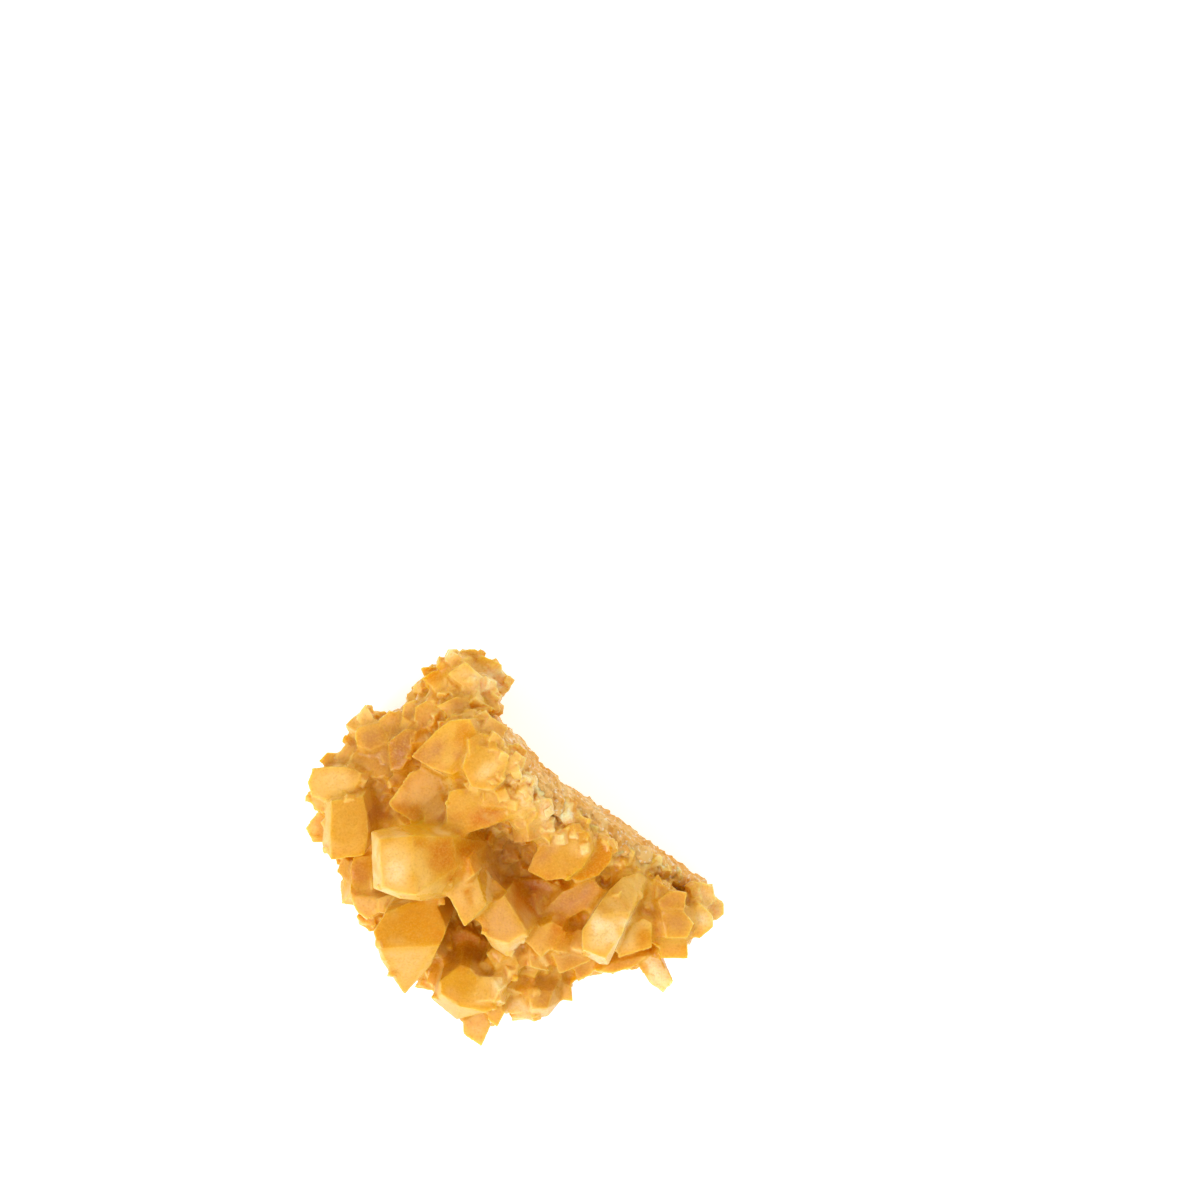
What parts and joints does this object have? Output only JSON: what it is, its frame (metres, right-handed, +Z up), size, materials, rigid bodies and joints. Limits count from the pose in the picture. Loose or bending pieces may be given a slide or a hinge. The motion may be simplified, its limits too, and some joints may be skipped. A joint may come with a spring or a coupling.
{
  "type": "calcite crystal cluster",
  "caption": "Cluster of honey-coloured calcite crystals grown together on a broken, wedge-shaped piece of sugary matrix with one bare wall.",
  "frame": {"origin": "bottom centre of the cluster's bounding box, in the plane of the matrix's flat foot", "axes": "+X to the right along the cluster's longest side, +Y towards the knob at its top end, +Z up through the crystals"},
  "size_m": [0.06, 0.057, 0.0273],
  "materials": {
    "honey_calcite": "cloudy, waxy to glassy crystal faces, orange in the hollows and cream on the faces",
    "sugary_matrix": "broken, granular rock with small glints"
  },
  "bodies": {
    "root": {"crystals": "honey_calcite", "matrix": "sugary_matrix"}
  },
  "joints": []
}
